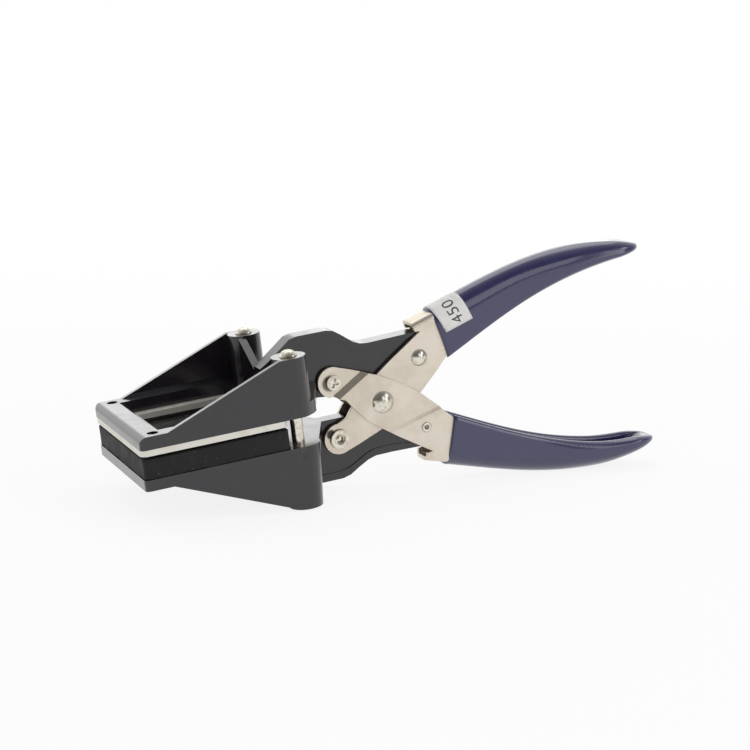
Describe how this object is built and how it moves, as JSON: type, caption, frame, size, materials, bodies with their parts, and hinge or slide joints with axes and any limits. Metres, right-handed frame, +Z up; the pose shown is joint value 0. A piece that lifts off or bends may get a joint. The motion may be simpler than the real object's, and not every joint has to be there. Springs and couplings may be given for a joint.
{
  "type": "photo cutter punch",
  "caption": "Hand-held photo cutter: plier handles squeeze a windowed die head straight down onto a punch to cut out one ID photo",
  "frame": {"origin": "on the ground under the middle of the tool's outline, as it rests on its two feet and its lower grip", "axes": "+Z up, X along the tool with the cutting head towards -X and the handles towards +X, Y across the tool"},
  "size_m": [0.2436, 0.069, 0.0998],
  "materials": {
    "black_paint": "gloss",
    "ground_steel": "ground",
    "black_steel": "black oxide",
    "black_rubber": "matt",
    "steel_pin": "polished",
    "bronze": "sintered",
    "nickel_plate": "satin nickel",
    "nickel_rivet": "bright nickel",
    "spring_steel": "drawn wire",
    "navy_vinyl": "dipped, glossy",
    "label_film": "satin"
  },
  "bodies": {
    "lower_jaw_body": {"lower_jaw": "black_paint", "punch": "ground_steel", "punch_screws": "black_steel", "stripper_pad": "black_rubber", "guide_pin_near": "steel_pin", "guide_pin_far": "steel_pin"},
    "handle_b_body": {"handle_b": "nickel_plate", "grip_upper": "navy_vinyl", "grip_label": "label_film", "slot_rivet_upper": "nickel_rivet", "front_rivet": "nickel_rivet", "main_rivet": "nickel_rivet", "pivot_spacer": "steel_pin", "return_spring": "spring_steel"},
    "handle_a_body": {"handle_a": "nickel_plate", "grip_lower": "navy_vinyl", "slot_rivet_lower": "nickel_rivet", "front_screw": "nickel_rivet", "front_nut": "nickel_rivet"},
    "upper_jaw_body": {"upper_jaw": "black_paint", "die_plate": "ground_steel", "die_screws": "black_steel", "guide_bush_near": "bronze", "guide_bush_far": "bronze"}
  },
  "joints": [
    {"name": "upper_grip_squeeze", "type": "hinge", "parent": "lower_jaw_body", "child": "handle_b_body", "pos_m": [-0.02875, 0, 0.02167], "axis": [0, 1, 0], "range_deg": [0, 5.5], "stiffness_Nm_per_rad": 2, "springref_deg": -20.05, "deforming": ["return_spring", "stripper_pad"]},
    {"name": "lower_grip_squeeze", "type": "hinge", "parent": "handle_b_body", "child": "handle_a_body", "pos_m": [-0.01035, 0, 0.03645], "axis": [0, 1, 0], "range_deg": [-11.01, 0]},
    {"name": "upper_head_level", "type": "hinge", "parent": "handle_a_body", "child": "upper_jaw_body", "pos_m": [-0.0321, 0, 0.04561], "axis": [0, 1, 0], "range_deg": [0, 5.51]}
  ],
  "couplings": [
    {"joint": "lower_grip_squeeze", "follows": "upper_grip_squeeze", "ratio": -2},
    {"joint": "upper_head_level", "follows": "upper_grip_squeeze", "ratio": 1}
  ]
}
